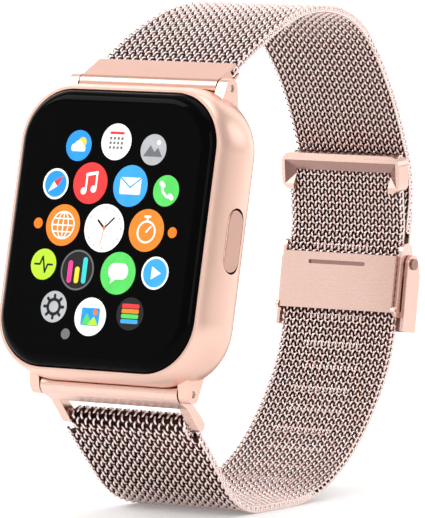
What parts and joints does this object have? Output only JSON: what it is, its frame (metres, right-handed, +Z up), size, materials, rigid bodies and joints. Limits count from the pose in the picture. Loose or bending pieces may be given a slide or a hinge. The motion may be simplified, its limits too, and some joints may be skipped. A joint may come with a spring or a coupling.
{
  "type": "smartwatch",
  "caption": "Rounded rectangular wrist computer with a domed screen and side button, on a closed woven metal strap with a sliding fold-over clasp.",
  "frame": {"origin": "centre of the bounding box in X and Y, at the lowest point of the strap", "axes": "+X from the screen's middle to the button side, +Y from the screen back to the clasp, +Z up; the watch leans back 12.4 degrees and stands on its strap"},
  "size_m": [0.0332, 0.0616, 0.0658],
  "materials": {
    "case_metal": "satin",
    "button_metal": "satin",
    "cover_glass": "gloss",
    "black_rubber": "matte",
    "display": "gloss",
    "tray_metal": "satin",
    "board": "satin",
    "chip": "matte",
    "cell": "satin",
    "motor_steel": "satin",
    "flex": "satin",
    "frame_plastic": "matte",
    "back_ceramic": "gloss",
    "screw_steel": "satin",
    "sensor_glass": "gloss",
    "contact_gold": "satin",
    "bar_steel": "satin",
    "strap_steel": "satin",
    "clasp_steel": "satin"
  },
  "bodies": {
    "case": {"case_body": "case_metal", "tact_switch": "chip", "cover_glass": "cover_glass", "glass_gasket": "black_rubber", "display_panel": "display", "display_tray": "tray_metal", "main_board": "board", "board_chips": "chip", "battery": "cell", "vibration_motor": "motor_steel", "display_flex": "flex", "inner_frame": "frame_plastic", "sensor_board": "board", "back_cover": "back_ceramic", "back_screws": "screw_steel", "sensor_window": "sensor_glass", "charging_contacts": "contact_gold", "upper_bar_tube": "bar_steel", "upper_bar_pins": "bar_steel", "lower_bar_tube": "bar_steel", "lower_bar_pins": "bar_steel"},
    "button": {"side_button": "button_metal", "button_seal": "black_rubber", "button_clip": "screw_steel"},
    "upper_strap": {"upper_end_link": "clasp_steel", "upper_mesh": "strap_steel", "hook_plate": "clasp_steel"},
    "strap_frame": {"lower_frame": "clasp_steel"},
    "lower_strap": {"lower_mesh": "strap_steel", "tail_clip": "clasp_steel", "slider_body": "clasp_steel", "hinge_pin": "clasp_steel"},
    "cover": {"clasp_cover": "clasp_steel"},
    "plate": {"lock_plate": "clasp_steel"}
  },
  "joints": [
    {"name": "button_press", "type": "slide", "parent": "case", "child": "button", "axis": [-1, 0, 0], "range_m": [0, 0.0004], "stiffness_N_per_m": 2500},
    {"name": "upper_strap_swing", "type": "hinge", "parent": "case", "child": "upper_strap", "pos_m": [0, -0.01644, 0.05586], "axis": [1, 0, 0], "range_deg": [0, 75]},
    {"name": "strap_frame_swing", "type": "hinge", "parent": "case", "child": "strap_frame", "pos_m": [0, -0.02495, 0.01718], "axis": [-1, 0, 0], "range_deg": [0, 5.5]},
    {"name": "lower_strap_swing", "type": "hinge", "parent": "strap_frame", "child": "lower_strap", "pos_m": [0, -0.02089, 0.01277], "axis": [-1, 0, 0], "range_deg": [0, 4.5]},
    {"name": "cover_fold", "type": "hinge", "parent": "lower_strap", "child": "cover", "pos_m": [0, 0.02868, 0.03013], "axis": [1, 0, 0], "range_deg": [0, 95]},
    {"name": "plate_lift", "type": "hinge", "parent": "lower_strap", "child": "plate", "pos_m": [0, 0.0253, 0.0241], "axis": [1, 0, 0], "range_deg": [0, 60]}
  ],
  "couplings": [
    {"joint": "strap_frame_swing", "follows": "upper_strap_swing", "ratio": 0.06},
    {"joint": "lower_strap_swing", "follows": "upper_strap_swing", "ratio": 0.05}
  ]
}
